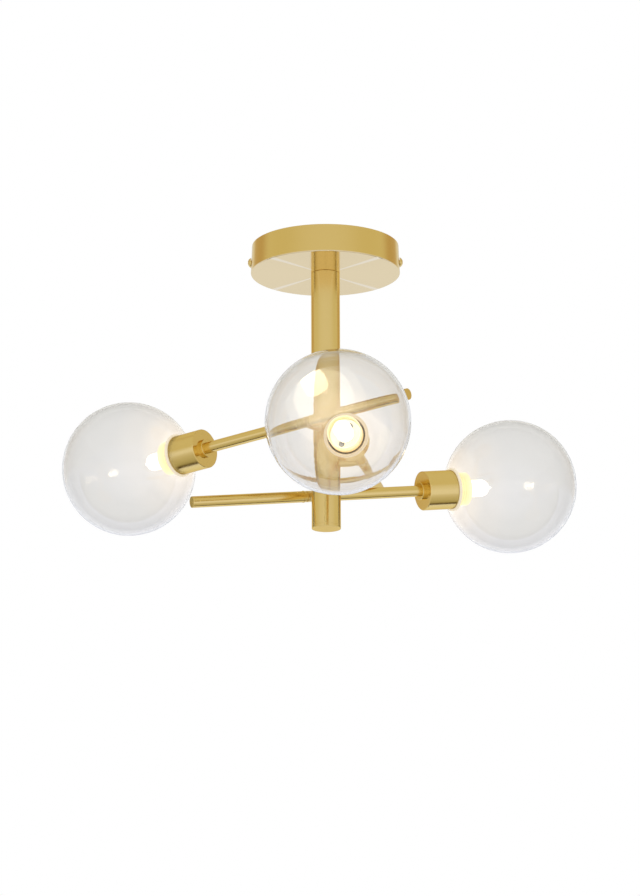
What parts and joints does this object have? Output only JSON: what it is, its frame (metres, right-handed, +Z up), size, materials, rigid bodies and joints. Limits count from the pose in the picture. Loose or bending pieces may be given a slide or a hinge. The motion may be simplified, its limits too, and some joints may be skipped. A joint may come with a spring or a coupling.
{
  "type": "semi flush ceiling light",
  "caption": "Semi flush ceiling light: round brass canopy, straight stem, and thin tilting arms beside the stem, each with a lamp cup and a clear glass globe.",
  "frame": {"origin": "centre of the ceiling strap's upper face, in the ceiling plane, on the stem's axis", "axes": "+Z up into the ceiling, +X along the ceiling strap to the right in the picture, +Y away from the camera"},
  "size_m": [0.4629, 0.426, 0.275],
  "materials": {
    "satin_brass": "brushed satin",
    "plain_brass": "machined",
    "zinc_steel": "zinc plated",
    "globe_glass": "clear, polished",
    "bulb_glass": "clear, polished",
    "glowing_core": "lit, warm white",
    "ceramic": "unglazed ceramic",
    "silicone": "translucent silicone",
    "insulation": "heat-proof sleeve",
    "block_plastic": "moulded"
  },
  "bodies": {
    "fixture": {"ceiling_strap": "zinc_steel", "earth_screw": "plain_brass", "terminal_block": "block_plastic", "canopy": "satin_brass", "stem_nipple": "plain_brass", "stem_locknut": "plain_brass", "stem_plug": "plain_brass", "stem_tube": "satin_brass", "stem_cap": "satin_brass", "stem_leads": "insulation", "left_stub": "satin_brass", "right_stub": "satin_brass", "front_stub": "satin_brass"},
    "left_screw": {"side_screw_left": "satin_brass"},
    "right_screw": {"side_screw_right": "satin_brass"},
    "left_arm": {"left_knuckle": "satin_brass", "left_lamp_tube": "satin_brass", "left_tail_tube": "satin_brass", "left_tail_cap": "satin_brass", "left_arm_lead": "insulation", "left_collar": "satin_brass", "left_cup": "satin_brass", "left_sleeve": "plain_brass", "left_lampholder": "ceramic", "left_holder_screws": "zinc_steel"},
    "left_seal": {"left_gasket": "silicone"},
    "left_shade": {"left_globe": "globe_glass"},
    "left_lamp": {"left_bulb_base": "ceramic", "left_bulb_core": "glowing_core", "left_bulb_capsule": "bulb_glass"},
    "right_arm": {"right_knuckle": "satin_brass", "right_lamp_tube": "satin_brass", "right_tail_tube": "satin_brass", "right_tail_cap": "satin_brass", "right_arm_lead": "insulation", "right_collar": "satin_brass", "right_cup": "satin_brass", "right_sleeve": "plain_brass", "right_lampholder": "ceramic", "right_holder_screws": "zinc_steel"},
    "right_seal": {"right_gasket": "silicone"},
    "right_shade": {"right_globe": "globe_glass"},
    "right_lamp": {"right_bulb_base": "ceramic", "right_bulb_core": "glowing_core", "right_bulb_capsule": "bulb_glass"},
    "front_arm": {"front_knuckle": "satin_brass", "front_lamp_tube": "satin_brass", "front_tail_tube": "satin_brass", "front_tail_cap": "satin_brass", "front_arm_lead": "insulation", "front_collar": "satin_brass", "front_cup": "satin_brass", "front_sleeve": "plain_brass", "front_lampholder": "ceramic", "front_holder_screws": "zinc_steel"},
    "front_seal": {"front_gasket": "silicone"},
    "front_shade": {"front_globe": "globe_glass"},
    "front_lamp": {"front_bulb_base": "ceramic", "front_bulb_core": "glowing_core", "front_bulb_capsule": "bulb_glass"}
  },
  "joints": [
    {"name": "side_screw_left_out", "type": "slide", "parent": "fixture", "child": "left_screw", "axis": [-1, 0, 0], "range_m": [0, 0.008]},
    {"name": "side_screw_right_out", "type": "slide", "parent": "fixture", "child": "right_screw", "axis": [1, 0, 0], "range_m": [0, 0.008]},
    {"name": "left_arm_tilt", "type": "hinge", "parent": "fixture", "child": "left_arm", "pos_m": [-0.02046, -0.02715, -0.1685], "axis": [0.6018, 0.7986, 0], "range_deg": [-12, 23]},
    {"name": "left_globe_travel", "type": "slide", "parent": "left_arm", "child": "left_seal", "axis": [-0.7975, 0.6009, -0.0541], "range_m": [0, 0.012]},
    {"name": "left_globe_turn", "type": "hinge", "parent": "left_seal", "child": "left_shade", "pos_m": [-0.02046, -0.02715, -0.1685], "axis": [-0.7975, 0.6009, -0.0541], "range_deg": [0, 1800]},
    {"name": "left_bulb_out", "type": "slide", "parent": "left_arm", "child": "left_lamp", "axis": [-0.7975, 0.6009, -0.0541], "range_m": [0, 0.012]},
    {"name": "right_arm_tilt", "type": "hinge", "parent": "fixture", "child": "right_arm", "pos_m": [-0.01328, 0.0313, -0.22], "axis": [0.3907, -0.9205, 0], "range_deg": [-23, 1]},
    {"name": "right_globe_travel", "type": "slide", "parent": "right_arm", "child": "right_seal", "axis": [0.9115, 0.3869, 0.1392], "range_m": [0, 0.012]},
    {"name": "right_globe_turn", "type": "hinge", "parent": "right_seal", "child": "right_shade", "pos_m": [-0.01328, 0.0313, -0.22], "axis": [0.9115, 0.3869, 0.1392], "range_deg": [0, 1800]},
    {"name": "right_bulb_out", "type": "slide", "parent": "right_arm", "child": "right_lamp", "axis": [0.9115, 0.3869, 0.1392], "range_m": [0, 0.012]},
    {"name": "front_arm_tilt", "type": "hinge", "parent": "fixture", "child": "front_arm", "pos_m": [0.03375, -0.00414, -0.202], "axis": [-0.9925, 0.1219, 0], "range_deg": [-11, 1]},
    {"name": "front_globe_travel", "type": "slide", "parent": "front_arm", "child": "front_seal", "axis": [-0.1216, -0.9904, -0.0663], "range_m": [0, 0.012]},
    {"name": "front_globe_turn", "type": "hinge", "parent": "front_seal", "child": "front_shade", "pos_m": [0.03375, -0.00414, -0.202], "axis": [-0.1216, -0.9904, -0.0663], "range_deg": [0, 1800]},
    {"name": "front_bulb_out", "type": "slide", "parent": "front_arm", "child": "front_lamp", "axis": [-0.1216, -0.9904, -0.0663], "range_m": [0, 0.012]}
  ],
  "couplings": [
    {"joint": "left_globe_travel", "follows": "left_globe_turn", "m_per_rad": 0.00038197},
    {"joint": "right_globe_travel", "follows": "right_globe_turn", "m_per_rad": 0.00038197},
    {"joint": "front_globe_travel", "follows": "front_globe_turn", "m_per_rad": 0.00038197}
  ]
}
